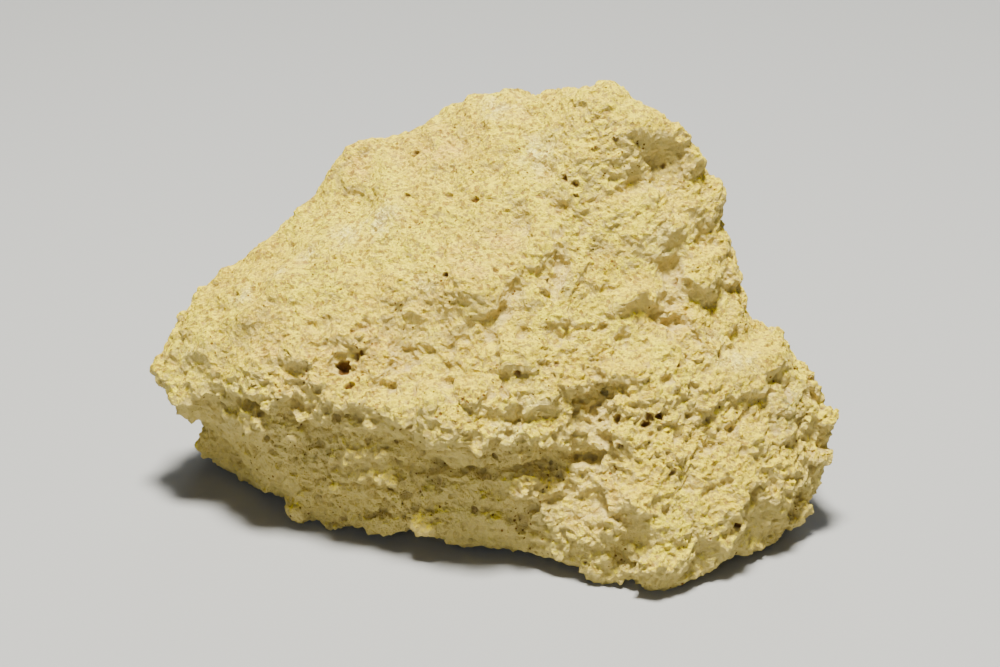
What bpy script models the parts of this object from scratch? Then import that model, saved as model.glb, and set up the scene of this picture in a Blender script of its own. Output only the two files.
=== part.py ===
"""A massive native sulfur specimen: one broken lump of porous, granular sulfur.

It is one solid, about 91 mm wide, 52 mm deep and 58 mm tall. Metres, +Z up, +X to the right
as seen from the front (-Y). The origin lies on the flat patch that the lump rests on.
Tables and relief are worked out in millimetres, and MM turns them into metres.

The front is laid out as it looks from one stand, a little above the lump: each place on it is
given as across and down in a view that is 1000 units wide and 667 high, counted from its upper
left corner. Its real place is worked out from the stand, as at_depth and on_face do.
"""

import math

import bmesh
import bpy
import numpy as np
from mathutils import Vector, noise
from mathutils.bvhtree import BVHTree

MM = 0.001
NODE = "sulfur_lump"

# Driving dimensions
CORE = (0, 4, 24)  # the middle of the lump, which every corner is seen from
FULLNESS = 0.5  # how far the corners are set out, for what the smoothing takes off
MESH_SIZE = 0.9  # edge of the even mesh that the relief is worked on
SOFTEN_PASSES = 7
MOST_TRIANGLES = 8900
BLOCK = 200  # edge of the block that cuts the flat patches

# The stand that the front is seen from
VIEW_WIDTH = 1000
VIEW_HEIGHT = 667
LOOK_DOWN = math.radians(25)
STAND_OFF = 367  # from the eye to the point that it looks at
AIM_HEIGHT = 27  # of that point, above the origin
ZOOM = VIEW_WIDTH * 100 / 36  # a 100 mm lens on a sensor 36 mm wide, in view units
AHEAD = Vector((0, math.cos(LOOK_DOWN), -math.sin(LOOK_DOWN)))
UP = Vector((0, math.sin(LOOK_DOWN), math.cos(LOOK_DOWN)))
EYE = Vector((0, 0, AIM_HEIGHT)) - STAND_OFF * AHEAD

# Corners of the front: (across, down, Y)
RIM = [  # the outline, anticlockwise from the peak
    (600, 81, 10), (566, 102, 13), (548, 96, 17), (520, 93, 19), (490, 94, 19),
    (462, 106, 19), (425, 121, 20), (392, 134, 20), (362, 142, 20), (335, 163, 19),
    (305, 203, 18), (280, 228, 17), (262, 244, 16), (240, 265, 15), (215, 287, 14),
    (190, 305, 12.5), (176, 330, 11), (163, 362, 9), (157, 385, 7), (168, 398, 5),
    (190, 407, 4), (212, 424, 9), (207, 455, 13), (216, 470, 12), (240, 476, 9),
    (265, 490, 4), (290, 508, 0), (320, 521, -3.5), (355, 532, -6), (380, 537, -8),
    (405, 531, -8), (440, 533, -9), (470, 541, -11), (500, 550, -13), (540, 560, -15),
    (572, 566, -17), (600, 582, -20), (640, 594, -22), (685, 590, -21.5), (705, 578, -19.5),
    (725, 562, -16.5), (748, 556, -14), (775, 545, -10), (800, 528, -7), (815, 508, -5),
    (823, 485, -4), (830, 455, -3), (838, 412, -2), (822, 389, 0), (800, 366, 2),
    (775, 342, 3), (752, 315, 4), (736, 288, 5), (728, 255, 7), (727, 232, 8),
    (715, 217, 8.5), (720, 205, 9.5), (714, 182, 9), (706, 158, 8.5), (692, 141, 8),
    (665, 126, 8), (640, 108, 8.5),
]
FLANK_EDGE = [  # the long edge between the front and the upper left flank
    (440, 170, 12), (390, 213, 9), (330, 262, 5), (265, 305, 2.5), (212, 350, 3),
]
TOP = [
    (500, 125, 13), (545, 122, 12), (450, 140, 15), (400, 165, 15), (580, 101, 10.5),
    (617, 95, 10), (598, 115, 7),
]
FACE = [  # the broad upper front
    (450, 230, 4), (500, 190, 6), (548, 190, 5.5), (400, 280, 0), (350, 330, -4),
    (295, 350, -4.5), (245, 375, -3), (420, 335, -5), (480, 280, -2.5), (546, 262, -2),
    (350, 385, -8), (400, 390, -9), (300, 395, -7),
]
BOSS = [  # the knob in the middle of the front
    (475, 330, -7), (520, 325, -7), (452, 372, -10), (500, 380, -11.5), (545, 370, -11),
    (572, 345, -8), (515, 418, -14), (450, 415, -13), (567, 398, -12.5),
]
LIP = [  # the overhanging edge under the face and the boss
    (205, 404, 1.5), (250, 407, -3.5), (304, 416, -7.5), (350, 417, -10), (398, 423, -12),
    (443, 437, -14), (500, 436, -15), (545, 440, -15),
]
UNDERCUT = [
    (228, 432, 3.5), (268, 450, -3), (330, 465, -7.5), (400, 478, -10.5), (470, 482, -12.5),
    (540, 478, -14),
]
SKIRT = [(300, 495, -3.5), (370, 505, -8), (440, 508, -11), (510, 520, -14.5), (570, 530, -17.5)]
VALLEY = [(592, 300, -4), (612, 345, -7.5), (600, 400, -10.5), (592, 440, -13), (580, 480, -14.5)]
SHOULDER = [
    (600, 140, 8), (650, 150, 6), (688, 170, 7), (620, 200, 3.5), (670, 212, 4),
    (704, 225, 6.5), (605, 250, 0), (655, 262, 0.5), (705, 262, 3.5), (650, 310, -4.5),
    (700, 305, -1),
]
LOBE = [  # the broad lower right
    (650, 355, -8.5), (700, 350, -5.5), (750, 350, -1.5), (640, 400, -12.5), (700, 400, -10),
    (760, 400, -6), (805, 405, -3), (625, 450, -15.5), (690, 450, -14.5), (760, 455, -10.5),
    (812, 455, -5.5), (605, 500, -17.5), (660, 500, -18.5), (730, 505, -15.5),
    (785, 500, -9.5), (625, 545, -20.5), (680, 550, -21), (730, 545, -17),
]
FRONT = RIM + FLANK_EDGE + TOP + FACE + BOSS + LIP + UNDERCUT + SKIRT + VALLEY + SHOULDER + LOBE

# Corners that the stand doesn't see, in millimetres
BACK = [
    (-19, 24, 43), (-6, 26.5, 47), (9, 24, 50), (19, 17, 47), (27, 15, 37), (32, 13, 25),
    (40, 8, 15), (16, 14, 54.5), (10, 15, 55), (13, 14, 57), (-34, 20, 28), (-42, 16, 18),
    (-40, 20, 8), (-28, 26.5, 26), (-12, 30, 31), (5, 29, 33), (19, 24, 31), (28, 19, 20),
    (-30, 26, 12), (-12, 30.5, 14), (6, 29, 15), (22, 25, 12), (35, 14, 9),
]
UNDERSIDE = [
    (-34, 20, 1), (-20, 26, 1.5), (-2, 27, 1), (14, 25, 0.5), (27, 18, 1), (38, 6, 2),
    (-20, 6, 0.8), (0, 0, -1.2), (12, -10, -0.6), (10, 12, 0.5), (-8, 14, 0.2), (30, 4, 0.2),
    (-30, 10, -0.8), (20, -18, -1), (4, 22, -1.2), (-18, 18, -0.6), (22, 12, -0.8),
]

# Lumps and hollows on the faces: (place, radius, height)
FRONT_SWELLINGS = [
    ((200, 340), 7, 0.8), ((470, 395), 4, 1.0), ((540, 402), 3.5, 1.2), ((650, 190), 3.5, 1.2),
    ((615, 215), 3.5, 0.9), ((700, 280), 4, 1.0), ((640, 500), 6, 1.0), ((440, 515), 4, 1.3),
    ((375, 527), 3.5, 1.0), ((750, 370), 5, 0.7), ((600, 345), 3, 0.9), ((520, 360), 4, 0.8),
    ((790, 470), 4, 0.8), ((740, 520), 4, 0.8), ((660, 575), 5, 0.7), ((300, 505), 4, 0.9),
    ((250, 460), 3, 0.7), ((680, 230), 4, 0.8),
    ((592, 410), 5, -2.6), ((420, 458), 4.5, -1.4), ((480, 470), 5, -1.7), ((540, 472), 4.5, -1.8),
    ((585, 455), 4, -1.2), ((665, 315), 4.5, -2.0), ((620, 352), 3.5, -1.0), ((405, 350), 7, -1.3),
    ((770, 420), 5, -1.2), ((557, 268), 2.8, -1.6), ((465, 150), 4, -0.8), ((518, 228), 3, -0.7),
    ((365, 160), 4, -0.6), ((700, 180), 5, -1.2), ((345, 368), 2.8, -1.2), ((630, 560), 4, -1.1),
    ((705, 560), 4, -0.9), ((310, 445), 4, -1.2), ((430, 472), 4, -1.2), ((380, 445), 3.5, -0.8),
]
BACK_SWELLINGS = [
    ((-20, 28, 30), 9, -1.6), ((4, 29, 22), 8, 1.4), ((16, 26, 38), 7, -1.4),
    ((-34, 22, 18), 6, 1.2), ((28, 18, 12), 7, -1.4), ((-6, 30, 8), 7, -1.3),
]
# Grooves and ridges along a line of places: (line, width, height)
FRONT_CREASES = [
    ([(557, 210), (557, 260), (515, 290), (473, 338), (447, 372)], 3, -1.1),
    ([(538, 204), (538, 260), (492, 290)], 2.5, 0.7),
    ([(379, 205), (326, 261), (265, 303)], 2.5, 0.6),
    ([(590, 207), (629, 187), (682, 160)], 3, -0.8),
]
BACK_CREASES = [
    ([(10, 28, 44), (8, 30, 30), (-2, 30, 18)], 4, -1.0),
    ([(-30, 24, 34), (-22, 28, 26), (-24, 28, 12)], 4, 1.0),
]

# Bedding: parting surfaces that rise to the right of the valley and fall to its left
VALLEY_X = 10
LEFT_DIP = 0.15
RIGHT_DIP = -0.45
BED_SPACING = 3.8
BED_STEP = 0.35
BED_TOP = 24  # height above which the bedding fades out
CRAG_SIZE = 11.0
CRAG_HEIGHT = 0.8
KNOB_SIZE = 6.0
KNOB_HEIGHT = 1.6


def clear_scene():
    for obj in list(bpy.data.objects):
        bpy.data.objects.remove(obj)


def sight(across, down):
    """The direction from the eye through a place of the view."""
    return AHEAD + Vector(((across - VIEW_WIDTH / 2) / ZOOM, 0, 0)) + UP * ((VIEW_HEIGHT / 2 - down) / ZOOM)


def at_depth(across, down, depth):
    """The place seen there that has the given Y."""
    way = sight(across, down)
    return EYE + way * ((depth - EYE.y) / way.y)


def on_face(faces, across, down):
    """The place of the lump's faces seen there."""
    return faces.ray_cast(EYE * MM, sight(across, down))[0] / MM


def set_out(corner):
    """The corner moved away from the core by FULLNESS, on the floor's side only sideways."""
    away = (corner - Vector(CORE)).normalized() * FULLNESS
    away.z = max(away.z, 0)
    return corner + away


def cage():
    """The corners joined by flat faces: those of the hull of the corners' directions from the core."""
    mesh = bmesh.new()
    places = {}
    for corner in [at_depth(*seen) for seen in FRONT] + [Vector(place) for place in BACK + UNDERSIDE]:
        direction = (corner - Vector(CORE)).normalized()
        places[mesh.verts.new(direction)] = set_out(corner) * MM
    bmesh.ops.convex_hull(mesh, input=mesh.verts)
    for vert, place in places.items():
        vert.co = place
    bmesh.ops.recalc_face_normals(mesh, faces=mesh.faces)
    data = bpy.data.meshes.new(NODE)
    mesh.to_mesh(data)
    mesh.free()
    return data


def apply_modifiers(obj):
    graph = bpy.context.evaluated_depsgraph_get()
    made = bpy.data.meshes.new_from_object(obj.evaluated_get(graph))
    obj.modifiers.clear()
    obj.data = made


def even_out(obj):
    """An even, closed mesh with its edges worn down."""
    even = obj.modifiers.new("even mesh", "REMESH")
    even.mode = "VOXEL"
    even.voxel_size = MESH_SIZE * MM
    soften = obj.modifiers.new("soften", "SMOOTH")
    soften.factor = 0.5
    soften.iterations = SOFTEN_PASSES
    apply_modifiers(obj)


def fade(distance, reach):
    """1 at no distance, falling smoothly to 0 at the reach."""
    near = np.clip(1 - distance / reach, 0, 1)
    return near * near * (3 - 2 * near)


def distance_to_line(points, line):
    """Distance of each point from a line through several places."""
    nearest = np.full(len(points), np.inf)
    for start, end in zip(line[:-1], line[1:]):
        start = np.array(start, float)
        span = np.array(end, float) - start
        share = np.clip((points - start) @ span / (span @ span), 0, 1)
        nearest = np.minimum(nearest, np.linalg.norm(points - start - share[:, None] * span, axis=1))
    return nearest


def swellings(points, faces):
    front_swellings = [(on_face(faces, *seen), radius, rise) for seen, radius, rise in FRONT_SWELLINGS]
    front_creases = [([on_face(faces, *seen) for seen in line], *rest) for line, *rest in FRONT_CREASES]
    height = np.zeros(len(points))
    for place, radius, rise in front_swellings + BACK_SWELLINGS:
        height += rise * fade(np.linalg.norm(points - place, axis=1), radius)
    for line, width, rise in front_creases + BACK_CREASES:
        height += rise * fade(distance_to_line(points, line), width)
    return height


def beds(points, warp):
    """Ledges: each bed stands a little proud of the one above it, and falls back sharply at its foot."""
    from_valley = points[:, 0] - VALLEY_X
    dip = np.where(from_valley < 0, LEFT_DIP, RIGHT_DIP) * from_valley
    level = (points[:, 2] + dip + 5 * warp) / BED_SPACING
    share = level - np.floor(level)
    profile = (1 - share) * np.clip(share / 0.25, 0, 1) - 0.4
    strength = fade(points[:, 2] - BED_TOP + 12, 24)
    return BED_STEP * strength * profile


def crags(points, offset, size, octaves):
    at = [Vector(p) / size + Vector(offset) for p in points]
    return np.array([noise.fractal(p, 0.9, 2.1, octaves) for p in at])


def knobs(points, offset, size):
    """Rounded lumps with narrow creases between them, at two sizes."""
    at = [Vector(p) / size + Vector(offset) for p in points]
    large = np.abs([noise.noise(p) for p in at])
    small = np.abs([noise.noise(p * 2.3) for p in at])
    return large + 0.3 * small - 0.25


def carve(obj):
    """Works the relief on the faces, each point along its normal."""
    mesh = obj.data
    points = np.array([v.co for v in mesh.vertices]) / MM
    normals = np.array([v.normal for v in mesh.vertices])
    faces = BVHTree.FromObject(obj, bpy.context.evaluated_depsgraph_get())
    broad = crags(points, (3.1, 7.7, 1.9), CRAG_SIZE, 4)
    warp = crags(points, (11.3, 2.4, 5.6), 14.0, 2)
    lumps = knobs(points, (5.2, 1.7, 8.8), KNOB_SIZE)
    height = swellings(points, faces) + beds(points, warp) + CRAG_HEIGHT * broad + KNOB_HEIGHT * lumps
    moved = (points + height[:, None] * normals) * MM
    mesh.vertices.foreach_set("co", moved.astype(np.float32).ravel())
    mesh.update()


def thin_out(obj):
    """Fewer triangles, kept where the surface turns most."""
    obj.data.calc_loop_triangles()
    fewer = obj.modifiers.new("fewer triangles", "DECIMATE")
    fewer.ratio = MOST_TRIANGLES / len(obj.data.loop_triangles)
    fewer.use_collapse_triangulate = True
    apply_modifiers(obj)


def floor_block(home):
    """The block below the floor."""
    mesh = bmesh.new()
    bmesh.ops.create_cube(mesh, size=1)
    for vert in mesh.verts:
        vert.co = (vert.co + Vector((0, 0, -0.5))) * BLOCK * MM
    data = bpy.data.meshes.new("floor_block")
    mesh.to_mesh(data)
    mesh.free()
    block = bpy.data.objects.new("floor_block", data)
    block.hide_render = True
    block.display_type = "WIRE"
    home.objects.link(block)
    return block


def cut_base(obj, block):
    """Takes what is below the floor away, which leaves the flat patches that the lump rests on."""
    cut = obj.modifiers.new("flat base", "BOOLEAN")
    cut.operation = "DIFFERENCE"
    cut.solver = "EXACT"
    cut.object = block
    apply_modifiers(obj)


def sulfur():
    material = bpy.data.materials.new("massive_sulfur")
    material.use_nodes = True
    surface = material.node_tree.nodes["Principled BSDF"]
    surface.inputs["Base Color"].default_value = (0.68, 0.56, 0.25, 1)
    surface.inputs["Roughness"].default_value = 0.85
    surface.inputs["Metallic"].default_value = 0
    return material


def main():
    clear_scene()
    home = bpy.data.collections.new("native_sulfur")
    cutters = bpy.data.collections.new("cutters")
    bpy.context.scene.collection.children.link(home)
    bpy.context.scene.collection.children.link(cutters)
    lump = bpy.data.objects.new(NODE, cage())
    home.objects.link(lump)
    even_out(lump)
    carve(lump)
    thin_out(lump)
    cut_base(lump, floor_block(cutters))
    lump.data.materials.clear()
    lump.data.materials.append(sulfur())


main()
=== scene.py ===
import math

import bmesh
import bpy
import numpy as np
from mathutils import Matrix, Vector, noise
from mathutils.bvhtree import BVHTree


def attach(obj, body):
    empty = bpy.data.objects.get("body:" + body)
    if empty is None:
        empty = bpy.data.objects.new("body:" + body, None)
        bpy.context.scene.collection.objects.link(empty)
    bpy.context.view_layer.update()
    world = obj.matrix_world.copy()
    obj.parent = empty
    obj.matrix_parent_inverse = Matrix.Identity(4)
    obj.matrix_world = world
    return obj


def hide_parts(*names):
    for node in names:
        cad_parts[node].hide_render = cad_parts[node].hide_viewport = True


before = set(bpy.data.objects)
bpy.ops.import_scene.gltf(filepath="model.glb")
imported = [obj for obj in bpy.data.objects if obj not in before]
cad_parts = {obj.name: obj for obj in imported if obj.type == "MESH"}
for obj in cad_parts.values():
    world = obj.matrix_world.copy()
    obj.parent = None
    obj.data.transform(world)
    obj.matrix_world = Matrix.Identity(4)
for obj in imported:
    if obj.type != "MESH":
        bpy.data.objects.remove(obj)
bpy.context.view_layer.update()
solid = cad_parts["sulfur_lump"]
solid_faces = BVHTree.FromObject(solid, bpy.context.evaluated_depsgraph_get())

MM = 0.001

# The camera: how far it looks down, its lens and its distance from the middle of the lump
LOOK_DOWN = math.radians(25)
LENS = 100
SENSOR = 36
CAMERA_DISTANCE = 367 * MM
LUMP_MIDDLE = Vector((0, 0, 27 * MM))
AHEAD = Vector((0, math.cos(LOOK_DOWN), -math.sin(LOOK_DOWN)))
UP = Vector((0, math.sin(LOOK_DOWN), math.cos(LOOK_DOWN)))
CAMERA_PLACE = LUMP_MIDDLE - AHEAD * CAMERA_DISTANCE

# Its view, in pixels. The marks on the lump's front are given across and down in it, and seen() finds
# their places on the solid.
VIEW_WIDTH = 1000
VIEW_HEIGHT = 667

# The skin is worked twice, the broken forms on a coarse mesh and the grain on a fine one, in millimetres
COARSE_MESH = 0.6
FINE_MESH = 0.27
FACET_WEAR = 8  # smoothing passes on the coarse mesh, which take the solid's flat facets off
BREAK_WEAR = 3  # smoothing passes on the fine mesh, which dull the freshly broken edges
SKIN_TRIANGLES = 198000
SKY_RAYS = 16  # how many ways each point looks for open sky, and how far
SKY_REACH = 25
STEP_WIDTH = 0.8  # how far sideways the step of a ledge takes

# The beds fall towards the valley from the left and rise from it to the right
VALLEY_X = 10
LEFT_DIP = 0.18
RIGHT_DIP = -0.5

# The overhanging lip runs to this height, and to this X, and the torn beds under it fade out there
LIP_TOP = 26
LIP_END = 14
LIP_FADE = 8

# Hollows (height under 0) and knobs of the broken faces: (where it's seen, reach in mm, height in mm)
FORMS = [
    ((420, 355), 10, -2.2), ((640, 335), 6, -1.4), ((600, 410), 5, -0.5), ((665, 180), 6, -1.2),
    ((530, 530), 5, -1.0), ((300, 430), 6, -0.8), ((520, 335), 2.5, -1.2), ((555, 335), 2.5, -1.2),
    ((620, 340), 2.5, -1.2), ((662, 312), 3, -1.2), ((745, 412), 3.5, -1.4), ((455, 140), 3, -0.6),
    ((640, 180), 2.5, -0.9), ((660, 160), 2.5, -0.8), ((700, 180), 3, -0.4), ((520, 225), 2.5, -0.8),
    ((670, 270), 2.5, -1), ((705, 240), 3, -1), ((625, 555), 3, -1), ((560, 540), 3, -1),
    ((375, 420), 2, -1), ((520, 415), 2, -1), ((560, 440), 2.5, -1),
    ((326, 384), 4.5, 0.9), ((508, 405), 3.5, 1), ((745, 365), 5, 0.6), ((715, 290), 4, 0.6),
    ((780, 510), 5, 1), ((560, 250), 4, 0.6), ((700, 285), 4, 1), ((640, 130), 4, 0.8),
    ((735, 310), 4, 0.8), ((430, 405), 4, 1), ((650, 520), 4, 0.8), ((420, 515), 3.5, 1),
    ((528, 491), 4, 1),
]
# Ledges: (path, with the raised side on its left as seen from outside, width, height of the step)
LEDGES = [
    ([(549, 300), (553, 282), (557, 258), (552, 232)], 2, 0.9),
    ([(472, 330), (455, 352), (448, 372), (456, 395), (470, 412)], 2.5, 0.9),
    ([(450, 366), (475, 371), (500, 371), (525, 372)], 1.2, 0.7),
    ([(205, 400), (228, 403), (250, 398), (262, 404)], 2, 1.1),
    ([(262, 404), (290, 418), (315, 430), (335, 420), (350, 410)], 3, 1.4),
    ([(395, 440), (430, 446), (465, 448)], 3, 1.4),
    ([(590, 462), (560, 468), (500, 470), (440, 473)], 2.5, 1.2),
    ([(350, 478), (395, 484), (440, 478), (485, 480)], 1.5, 0.7),
    ([(572, 425), (575, 400), (590, 388), (616, 384)], 2.5, 0.8),
    ([(560, 395), (560, 375), (575, 352)], 1.2, 0.6),
    ([(735, 425), (752, 404), (765, 385), (780, 368)], 3, 0.9),
    ([(705, 490), (722, 478)], 1.5, 0.7),
    ([(690, 385), (703, 402)], 1, 0.6),
    ([(735, 522), (735, 531)], 0.8, 1.2),
    ([(715, 545), (738, 552)], 1.5, 0.7),
    ([(612, 318), (640, 300), (660, 315), (680, 320)], 1.5, 0.7),
    ([(675, 212), (665, 187), (650, 167), (637, 150)], 2.5, 0.8),
]
# Stretches that broke smoother than the rest: (where it's seen, radius in mm)
CALM = [
    ((260, 288), 16), ((335, 240), 16), ((400, 193), 16), ((485, 170), 12), ((188, 362), 12),
    ((757, 357), 9), ((236, 341), 10), ((255, 262), 10), ((330, 184), 10), ((411, 138), 10),
    ((492, 107), 8), ((235, 454), 7), ((277, 482), 6),
]
# Pits that show one by one: (where it's seen, radius in mm)
PITS = [
    ((344, 367), 0.7), ((356, 356), 0.55), ((349, 385), 0.5), ((362, 354), 0.4), ((566, 179), 0.45),
    ((574, 183), 0.45), ((576, 196), 0.35), ((474, 198), 0.45), ((620, 431), 0.45), ((622, 446), 0.5),
    ((645, 424), 0.5), ((650, 417), 0.55), ((659, 416), 0.5), ((737, 526), 0.45), ((518, 374), 0.45),
    ((393, 491), 0.5), ((677, 366), 0.4), ((446, 276), 0.4),
]
# Where the yellow turns: white bloom, grey stain, and tan or pinkish beige: (where it's seen, radius in mm)
PATCHES = {
    "bloom": [
        ((240, 292), 3), ((275, 275), 3), ((310, 255), 3), ((345, 235), 4), ((378, 218), 5),
        ((425, 282), 3), ((540, 155), 5), ((668, 235), 4), ((715, 350), 4), ((745, 362), 4),
        ((507, 430), 4), ((540, 402), 3.5), ((500, 104), 5), ((820, 475), 5), ((462, 510), 4),
        ((190, 355), 4),
    ],
    "grey": [
        ((790, 405), 5), ((785, 430), 4), ((487, 448), 4), ((665, 255), 3), ((275, 440), 6),
        ((320, 450), 6), ((230, 425), 5), ((440, 478), 4), ((540, 515), 4), ((563, 288), 2),
        ((335, 420), 4), ((495, 316), 2.5),
    ],
    "tan": [
        ((270, 340), 9), ((335, 342), 9), ((390, 345), 9), ((430, 320), 7), ((300, 380), 7),
        ((475, 260), 7), ((500, 240), 6), ((440, 150), 8), ((610, 510), 7), ((670, 315), 5),
        ((455, 145), 4), ((362, 163), 5), ((403, 155), 4),
    ],
}


def seen(where):
    """The place on the solid, in millimetres, that the camera sees at a place of its view."""
    across, down = where
    pixel = SENSOR / LENS / VIEW_WIDTH
    right = Vector(((across - VIEW_WIDTH / 2) * pixel, 0, 0))
    sight = AHEAD + right + UP * ((VIEW_HEIGHT / 2 - down) * pixel)
    return np.array(solid_faces.ray_cast(CAMERA_PLACE, sight)[0]) / MM


def aim(thing, place, target):
    thing.location = place
    thing.rotation_euler = (target - place).to_track_quat("-Z", "Y").to_euler()


def add_camera():
    data = bpy.data.cameras.new("camera")
    data.lens = LENS
    data.sensor_width = SENSOR
    data.clip_start = 0.01
    camera = bpy.data.objects.new("camera", data)
    bpy.context.scene.collection.objects.link(camera)
    aim(camera, CAMERA_PLACE, LUMP_MIDDLE)
    bpy.context.scene.camera = camera


def add_soft_light(name, place, size, power, colour):
    data = bpy.data.lights.new(name, "AREA")
    data.color = colour
    data.size = size
    data.energy = power
    light = bpy.data.objects.new(name, data)
    bpy.context.scene.collection.objects.link(light)
    aim(light, Vector(place), LUMP_MIDDLE)


def linear(hex_colour):
    """The linear colour of an sRGB hex value."""
    shades = [int(hex_colour[i : i + 2], 16) / 255 for i in (1, 3, 5)]
    return [s / 12.92 if s <= 0.04045 else ((s + 0.055) / 1.055) ** 2.4 for s in shades] + [1]


def add_node(tree, kind, settings=None, **links):
    """Adds a node, sets its settings, and gives each named or numbered socket its value or its link."""
    made = tree.nodes.new(kind)
    for name, value in (settings or {}).items():
        setattr(made, name, value)
    for name, value in links.items():
        socket = made.inputs[int(name[1:])] if name[1:].isdigit() else made.inputs[name.replace("_", " ")]
        if isinstance(value, bpy.types.NodeSocket):
            tree.links.new(value, socket)
        else:
            socket.default_value = value
    return made


def floor_paint():
    """Matt grey paint, rolled on: even, with no sheen, and pale under the strong light from above."""
    paint = bpy.data.materials.new("matt_pale_paint")
    paint.use_nodes = True
    surface = paint.node_tree.nodes["Principled BSDF"]
    surface.inputs["Base Color"].default_value = linear("#98999B")
    surface.inputs["Roughness"].default_value = 0.9
    return paint


def add_floor():
    mesh = bmesh.new()
    bmesh.ops.create_grid(mesh, x_segments=1, y_segments=1, size=3)
    data = bpy.data.meshes.new("floor")
    mesh.to_mesh(data)
    mesh.free()
    data.materials.append(floor_paint())
    floor = bpy.data.objects.new("floor", data)
    bpy.context.scene.collection.objects.link(floor)


def apply_modifiers(piece):
    graph = bpy.context.evaluated_depsgraph_get()
    made = bpy.data.meshes.new_from_object(piece.evaluated_get(graph))
    piece.modifiers.clear()
    piece.data = made


def even_out(piece, edge, wear):
    """A new even mesh on the same form, with its edges worn by some smoothing passes."""
    even = piece.modifiers.new("even mesh", "REMESH")
    even.mode = "VOXEL"
    even.voxel_size = edge * MM
    worn = piece.modifiers.new("worn edges", "SMOOTH")
    worn.factor = 0.5
    worn.iterations = wear
    apply_modifiers(piece)


def points_of(mesh):
    """The mesh's points, one to a row, in millimetres."""
    flat = np.empty(len(mesh.vertices) * 3, np.float32)
    mesh.vertices.foreach_get("co", flat)
    return flat.reshape(-1, 3).astype(float) / MM


def normals_of(mesh):
    flat = np.empty(len(mesh.vertices) * 3, np.float32)
    mesh.vertices.foreach_get("normal", flat)
    return flat.reshape(-1, 3).astype(float)


def move_out(piece, points, height):
    """Moves each point along its normal, but none under the floor."""
    moved = points + height[:, None] * normals_of(piece.data)
    moved[:, 2] = np.maximum(moved[:, 2], 0)
    piece.data.vertices.foreach_set("co", (moved * MM).astype(np.float32).ravel())
    piece.data.update()


def fade(distance, reach):
    """1 at no distance, falling smoothly to 0 at the reach."""
    near = np.clip(1 - distance / reach, 0, 1)
    return near * near * (3 - 2 * near)


def rough(points, size, octaves, seed):
    """Uneven heights about 0, with humps of about the size given."""
    at = (points / size + seed).tolist()
    return np.array([noise.fractal(p, 0.8, 2.1, octaves) for p in at])


def crumbs(points, size, seed):
    """Rounded crumbs with narrow creases between them, their heights about 0."""
    at = (points / size + seed).tolist()
    return np.abs([noise.noise(p) for p in at]) - 0.18


def hackles(points, size, slope, seed):
    """Small broken blocks, each with its own height and tilt."""
    height = np.empty(len(points))
    for i, place in enumerate((points / size + seed).tolist()):
        centre = noise.voronoi(place)[1][0]
        tilt = Vector([noise.noise(centre * turn) for turn in (37.3, 41.9, 47.7)])
        height[i] = noise.noise(centre * 53.1) + slope * tilt.dot(Vector(place) - centre)
    return height


def torn_edges(points, spacing, warp):
    """Thin ledges along the beds, each sharp at its foot, their heights about 0."""
    from_valley = points[:, 0] - VALLEY_X
    dip = np.where(from_valley < 0, LEFT_DIP, RIGHT_DIP) * from_valley
    level = (points[:, 2] + dip) / spacing + warp
    share = level - np.floor(level)
    return (1 - share) * np.clip(share / 0.2, 0, 1) - 0.4


def single_pits(points):
    """Depth of the pits that show one by one, each 1.6 times its radius deep in its middle."""
    depth = np.zeros(len(points))
    for where, radius in PITS:
        inside = 1 - (np.linalg.norm(points - seen(where), axis=1) / (radius * 1.3)) ** 2
        depth = np.maximum(depth, 1.6 * radius * np.sqrt(np.clip(inside, 0, 1)))
    return depth


def pores(points, spacing, least, most, share, seed):
    """Depth of scattered round pores. A cell of the scatter holds one if its chance is under the share."""
    depth = np.zeros(len(points))
    for i, place in enumerate((points / spacing + seed).tolist()):
        distances, centres = noise.voronoi(place)
        chance = noise.cell(centres[0] * 91.7)
        if chance < share:
            radius = least + (most - least) * chance / share
            inside = 1 - (distances[0] * spacing / radius) ** 2
            if inside > 0:
                depth[i] = radius * math.sqrt(inside)
    return depth


def shaken(points, size, reach, seed):
    """The points moved about, so that what is worked out at them has ragged edges."""
    shake = [rough(points, size, 3, seed + axis) for axis in range(3)]
    return points + reach * np.stack(shake, axis=1)


def ledges(points, normals):
    """Steps of the broken faces, raised on one side of each path and undercut on the other."""
    height = np.zeros(len(points))
    for path, width, step in LEDGES:
        nearest = np.full(len(points), np.inf)
        left = np.zeros(len(points))
        corners = [seen(where) for where in path]
        for start, end in zip(corners, corners[1:]):
            along = end - start
            share = np.clip((points - start) @ along / (along @ along), 0, 1)
            offset = points - start - share[:, None] * along
            distance = np.linalg.norm(offset, axis=1)
            side = (np.cross(normals, along / np.linalg.norm(along)) * offset).sum(axis=1)
            left = np.where(distance < nearest, side, left)
            nearest = np.minimum(nearest, distance)
        raised = np.clip(0.5 + left / STEP_WIDTH, 0, 1)
        height += step * (0.5 * raised * fade(nearest, 2 * width) - (1 - raised) * fade(nearest, width))
    return height


def roughness(points):
    """How rough the break is: 0.3 where it parted smoothly, 1 elsewhere, and more on the lower faces."""
    calm = np.clip(0.3 + rough(points, size=13, octaves=2, seed=17.1), 0, 0.6)
    for where, radius in CALM:
        calm = np.maximum(calm, fade(np.linalg.norm(points - seen(where), axis=1), 1.4 * radius))
    lower = np.clip((32 - points[:, 2]) / 10, 0, 1)
    return (1 - 0.7 * calm) * (1 + 0.6 * lower)


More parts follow.
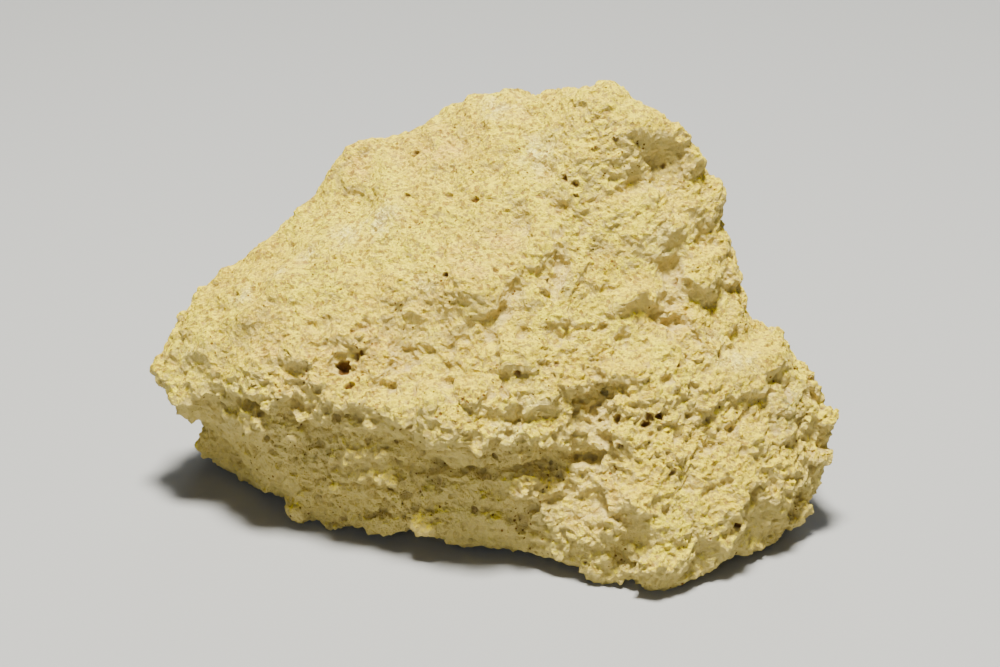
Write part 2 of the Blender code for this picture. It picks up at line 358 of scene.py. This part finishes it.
def broken_forms(points, normals):
    """Hollows, ledges, knobs and hackly blocks of 2 to 8 mm, as the lump broke from its bed."""
    large_blocks = hackles(shaken(points, size=4, reach=1.2, seed=21.1), size=5, slope=0.8, seed=6.4)
    small_blocks = hackles(shaken(points, size=2, reach=0.7, seed=25.3), size=2.4, slope=0.8, seed=2.6)
    height = 1.1 * large_blocks
    height += 0.65 * small_blocks
    height *= roughness(points)
    height += 0.7 * crumbs(points * (1, 0.35, 0.35), size=3.5, seed=71.2)
    height += 0.7 * rough(points, size=7, octaves=3, seed=1.7)
    for where, reach, rise in FORMS:
        height += rise * fade(np.linalg.norm(points - seen(where), axis=1), reach)
    height += ledges(shaken(points, size=3, reach=0.8, seed=41.5), normals)
    below = np.clip((LIP_TOP - points[:, 2]) / LIP_FADE, 0, 1)
    under_lip = below * np.clip((LIP_END - points[:, 0]) / LIP_FADE, 0.2, 1)
    warp = 1.2 * rough(points, size=9, octaves=2, seed=3.3)
    loose = shaken(points, size=3, reach=1.2, seed=51.3)
    height += under_lip * torn_edges(loose, spacing=2.8, warp=warp)
    return height * np.clip(points[:, 2] / 3, 0.3, 1)


def grain_relief(points):
    """Crumbs, torn edges and scoops of 0.5 to 2.5 mm."""
    warp = rough(points, size=9, octaves=2, seed=3.3)
    loose = shaken(points, size=1.5, reach=0.4, seed=31.7)
    height = -0.6 * crumbs(loose, size=2.2, seed=8.1)
    height += 0.3 * crumbs(loose, size=1.4, seed=14.4)
    height += 0.25 * crumbs(points, size=0.9, seed=4.6)
    height += 0.2 * rough(points, size=0.8, octaves=2, seed=9.2)
    height += 0.12 * torn_edges(loose, spacing=1.7, warp=1.6 * warp)
    return roughness(points) * height


def hollow_depth(piece, passes):
    """How far each point lies below the surface smoothed by a number of passes, in millimetres."""
    worn = piece.modifiers.new("worn edges", "SMOOTH")
    worn.factor = 0.5
    worn.iterations = passes
    smooth = piece.evaluated_get(bpy.context.evaluated_depsgraph_get()).data
    depth = ((points_of(smooth) - points_of(piece.data)) * normals_of(smooth)).sum(axis=1)
    piece.modifiers.clear()
    return depth


def shelter(piece):
    """The share of the open sky that each point doesn't see, from 0 on top to 1 under a ledge, for the
    painted shade in the colour.
    """
    tree = BVHTree.FromObject(piece, bpy.context.evaluated_depsgraph_get())
    turn = (math.sqrt(5) - 1) / 2
    rays = []
    for ray in range(SKY_RAYS):
        rise = math.sqrt(1 - (ray + 0.5) / SKY_RAYS)
        reach = math.sqrt(1 - rise * rise)
        rays.append((reach * math.cos(math.tau * turn * ray), reach * math.sin(math.tau * turn * ray), rise))
    rays = np.array(rays)
    mesh = piece.data
    normals = normals_of(mesh)
    hidden = np.zeros(len(mesh.vertices))
    for i, (vertex, normal) in enumerate(zip(mesh.vertices, normals)):
        side = np.cross(normal, (1, 0, 0) if abs(normal[0]) < 0.7 else (0, 1, 0))
        side /= np.linalg.norm(side)
        ways = rays @ np.array([side, np.cross(normal, side), normal])
        start = vertex.co + Vector(normal) * 0.15 * MM
        for way in ways[ways[:, 2] > 0].tolist():
            if tree.ray_cast(start, way, SKY_REACH * MM)[0] is None:
                hidden[i] += 1
    return 1 - hidden / SKY_RAYS


def keep(mesh, name, values):
    """Keeps a value for each point under a name that the material reads."""
    mesh.attributes.new(name, "FLOAT", "POINT").data.foreach_set("value", values.astype(np.float32))


def broken_skin():
    """The solid's form with the broken, porous surface of the real lump."""
    data = solid.data.copy()
    mesh = bmesh.new()
    mesh.from_mesh(data)
    bmesh.ops.remove_doubles(mesh, verts=mesh.verts, dist=1e-6)
    mesh.to_mesh(data)
    mesh.free()
    piece = bpy.data.objects.new("broken_sulfur", data)
    bpy.context.scene.collection.objects.link(piece)
    even_out(piece, COARSE_MESH, FACET_WEAR)
    points = points_of(piece.data)
    move_out(piece, points, broken_forms(points, normals_of(piece.data)))

    even_out(piece, FINE_MESH, BREAK_WEAR)
    points = points_of(piece.data)
    ragged = shaken(points, size=0.9, reach=0.3, seed=61.1)
    scattered = pores(ragged, spacing=2.6, least=0.35, most=0.55, share=0.35, seed=5.5)
    depth = np.maximum(scattered, single_pits(ragged))
    move_out(piece, points, grain_relief(points) - depth)
    # These depths drive the painted shade in pores, creases and hollows and the painted highlight on the
    # crests
    keep(piece.data, "pore", np.clip(depth / 0.6, 0, 1))
    keep(piece.data, "crease", hollow_depth(piece, passes=6))
    keep(piece.data, "hollow", hollow_depth(piece, passes=60))
    for name, places in PATCHES.items():
        share = [fade(np.linalg.norm(points - seen(where), axis=1), radius) for where, radius in places]
        keep(piece.data, name, np.max(share, axis=0))

    piece.data.calc_loop_triangles()
    fewer = piece.modifiers.new("fewer triangles", "DECIMATE")
    fewer.ratio = min(1, SKIN_TRIANGLES / len(piece.data.loop_triangles))
    fewer.use_collapse_triangulate = True
    apply_modifiers(piece)
    points = points_of(piece.data)
    # How much of the sky each point misses, for the painted shade in the colour
    keep(piece.data, "sheltered", shelter(piece))
    move_out(piece, points, 0.16 * rough(points, size=0.45, octaves=1, seed=12.6))
    piece.data.validate()
    piece.data.shade_flat()
    return piece


YELLOW = "#E9CE1A"
# Amber-brown of the pinprick pores, and the painted shade inside them
PORE_BROWN_AND_SHADE = "#8A6226"
# Cloudy tints laid over the yellow in turn: (size in mm, detail, from, to, most, colour)
CLOUDS = [
    (9, 3, 0.40, 0.60, 1.0, "#F1E01A"),
    (3, 4, 0.46, 0.64, 0.6, "#D8B634"),
    (1.1, 4, 0.48, 0.66, 0.5, "#FBE816"),
]
# Tints where the patches are, broken up by clouds: (patch, cloud size in mm, from, to, most, colour)
STAINS = [
    ("tan", 2.5, 0.35, 0.55, 0.7, "#E6BC58"),
    ("grey", 1.6, 0.36, 0.52, 0.9, "#9C9874"),
    ("bloom", 1.8, 0.42, 0.56, 0.9, "#FFF190"),
]
# Painted shade in creases, broad hollows, pores and places hidden from the sky, and a painted highlight on
# the crests where the crease measure is under 0; the pores' tint also holds their amber-brown colour:
# (measure of depth, depth it starts at, depth it is full at, most, colour)
PAINTED_SHADE_AND_HIGHLIGHT = [
    # painted highlight on the crests
    ("crease", -0.02, -0.14, 0.5, "#FFE616"),
    # painted shade where the open sky is hidden, under ledges and on faces turned down
    ("sheltered", 0.27, 0.52, 0.88, "#DAC476"),
    # painted shade in the broad hollows
    ("hollow", 0.1, 0.9, 0.5, "#C6B07C"),
    # painted shade in the small creases
    ("crease", 0.02, 0.16, 0.7, "#AE985C"),
    # the pores' amber-brown colour, with painted shade inside them
    ("pore", 0.0, 1.0, 0.9, "#6A4014"),
]
# Dark, light and amber grains. The real ones are 0.1 to 0.3 mm, too fine for the view, and are drawn
# coarser: (grain size in mm, random share from, to, most, colour)
GRAINS = [
    (0.32, 0.42, 0.05, 0.85, "#9A8446"),
    (0.32, 0.60, 0.95, 0.6, "#FFEA16"),
    (0.50, 0.28, 0.05, 0.75, "#8E6C2C"),
    (0.24, 0.45, 0.0, 0.5, "#B4984C"),
]


def tints(tree, place):
    """The tints over the yellow in the order they are laid on, each with where it shows: (share, colour).
    The last ones are painted shade in creases, hollows, pores and places hidden from the sky, and a painted
    highlight on the crests.
    """
    layers = []
    for number, (size, detail, low, high, most, tint) in enumerate(CLOUDS):
        cloud = add_node(
            tree, "ShaderNodeTexNoise", {"noise_dimensions": "4D"},
            Vector=place, W=number, Scale=1 / (size * MM), Detail=detail,
        )
        share = add_node(
            tree, "ShaderNodeMapRange", Value=cloud.outputs["Fac"], From_Min=low, From_Max=high, To_Max=most
        )
        layers.append((share.outputs[0], tint))
    for number, (name, size, low, high, most, tint) in enumerate(STAINS):
        patch = add_node(tree, "ShaderNodeAttribute", {"attribute_name": name})
        cloud = add_node(
            tree, "ShaderNodeTexNoise", {"noise_dimensions": "4D"},
            Vector=place, W=10 + number, Scale=1 / (size * MM), Detail=5, Roughness=0.65,
        )
        broken = add_node(
            tree, "ShaderNodeMapRange", Value=cloud.outputs["Fac"], From_Min=low, From_Max=high, To_Max=most
        )
        share = add_node(
            tree, "ShaderNodeMath", {"operation": "MULTIPLY"}, _0=patch.outputs["Fac"], _1=broken.outputs[0]
        )
        layers.append((share.outputs[0], tint))
    for size, low, high, most, tint in GRAINS:
        grains = add_node(tree, "ShaderNodeTexVoronoi", Vector=place, Scale=1 / (size * MM))
        chance = add_node(tree, "ShaderNodeSeparateColor", Color=grains.outputs["Color"])
        share = add_node(
            tree, "ShaderNodeMapRange", Value=chance.outputs["Red"], From_Min=low, From_Max=high, To_Max=most
        )
        layers.append((share.outputs[0], tint))
    # Painted shade in creases, hollows, pores and places hidden from the sky, and painted highlights on the
    # crests
    for name, low, high, most, tint in PAINTED_SHADE_AND_HIGHLIGHT:
        depth = add_node(tree, "ShaderNodeAttribute", {"attribute_name": name})
        share = add_node(
            tree, "ShaderNodeMapRange", Value=depth.outputs["Fac"], From_Min=low, From_Max=high, To_Max=most
        )
        layers.append((share.outputs[0], tint))
    return layers


def massive_sulfur():
    """Massive native sulfur, broken across the grain: dull and granular, and it lets a little light in. Its
    colour also holds painted shade in hollows, creases, pores and sheltered places, and a painted highlight
    on the crests.
    """
    sulfur = bpy.data.materials.new("massive_native_sulfur")
    sulfur.use_nodes = True
    tree = sulfur.node_tree
    surface = tree.nodes["Principled BSDF"]
    place = add_node(tree, "ShaderNodeTexCoord").outputs["Object"]
    colour = linear(YELLOW)
    for share, tint in tints(tree, place):
        mixed = add_node(
            tree, "ShaderNodeMix", {"data_type": "RGBA"}, Factor=share, _6=colour, _7=linear(tint)
        )
        colour = mixed.outputs[2]

    # Pinprick pores painted brown: their amber-brown colour and painted shade inside them
    pinpricks = pinprick_pores(tree, place)
    dark = add_node(
        tree, "ShaderNodeMix", {"data_type": "RGBA"}, Factor=pinpricks, _6=colour, _7=linear(PORE_BROWN_AND_SHADE)
    )
    tree.links.new(dark.outputs[2], surface.inputs["Base Color"])

    fine = add_node(tree, "ShaderNodeTexNoise", Vector=place, Scale=1 / (0.8 * MM), Detail=4, Roughness=0.8)
    relief = add_node(
        tree, "ShaderNodeMath", {"operation": "SUBTRACT"}, _0=fine.outputs["Fac"], _1=pinpricks
    )
    bumps = add_node(tree, "ShaderNodeBump", Height=relief.outputs[0], Strength=1.0, Distance=0.8 * MM)
    tree.links.new(bumps.outputs[0], surface.inputs["Normal"])
    surface.inputs["Roughness"].default_value = 0.65
    surface.inputs["IOR"].default_value = 1.6
    surface.inputs["Specular IOR Level"].default_value = 0.1
    surface.inputs["Subsurface Weight"].default_value = 0.1
    surface.inputs["Subsurface Radius"].default_value = (1, 0.8, 0.25)
    surface.inputs["Subsurface Scale"].default_value = 0.5 * MM
    return sulfur


def pinprick_pores(tree, place):
    """Pores of 0.2 to 0.5 mm, too small for the mesh, which gather in clusters: 1 in a pore, 0 outside. They
    are painted brown, for their amber-brown colour and the shade inside them.
    """
    spacing = 0.8 * MM
    jitter = add_node(tree, "ShaderNodeTexNoise", Vector=place, Scale=1 / (0.5 * MM), Detail=2)
    ragged = add_node(
        tree, "ShaderNodeVectorMath", {"operation": "MULTIPLY_ADD"},
        _0=jitter.outputs["Color"], _1=[0.3 * MM] * 3, _2=place,
    )
    cells = add_node(tree, "ShaderNodeTexVoronoi", Vector=ragged.outputs[0], Scale=1 / spacing)
    chance = add_node(tree, "ShaderNodeSeparateColor", Color=cells.outputs["Color"])
    cluster = add_node(tree, "ShaderNodeTexNoise", Vector=place, Scale=1 / (6 * MM), Detail=3)
    crowding = add_node(
        tree, "ShaderNodeMapRange", Value=cluster.outputs["Fac"],
        From_Min=0.42, From_Max=0.60, To_Min=-0.04, To_Max=0.27,
    )
    radius = add_node(
        tree, "ShaderNodeMath", {"operation": "MULTIPLY"}, _0=chance.outputs["Green"], _1=crowding.outputs[0]
    )
    inside = add_node(
        tree, "ShaderNodeMath", {"operation": "SUBTRACT"}, _0=radius.outputs[0], _1=cells.outputs["Distance"]
    )
    edge = add_node(tree, "ShaderNodeMapRange", Value=inside.outputs[0], From_Min=-0.03, From_Max=0.06)
    return edge.outputs[0]


def light_room():
    world = bpy.data.worlds.new("pale_room")
    world.use_nodes = True
    world.node_tree.nodes["Background"].inputs[0].default_value = (0.85, 0.92, 1, 1)
    world.node_tree.nodes["Background"].inputs[1].default_value = 0.05
    bpy.context.scene.world = world
    add_soft_light("softbox_above", (0.0, -0.04, 0.6), 0.12, 14, (1, 0.97, 0.86))
    add_soft_light("softbox_front", (-0.1, -0.6, 0.25), 0.4, 0.9, (0.85, 0.92, 1))
    add_soft_light("softbox_behind", (0.1, 0.6, 0.3), 0.4, 1.2, (0.85, 0.92, 1))


add_camera()
add_floor()
light_room()
lump = broken_skin()
lump.data.materials.clear()
lump.data.materials.append(massive_sulfur())
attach(lump, "root")
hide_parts("sulfur_lump")
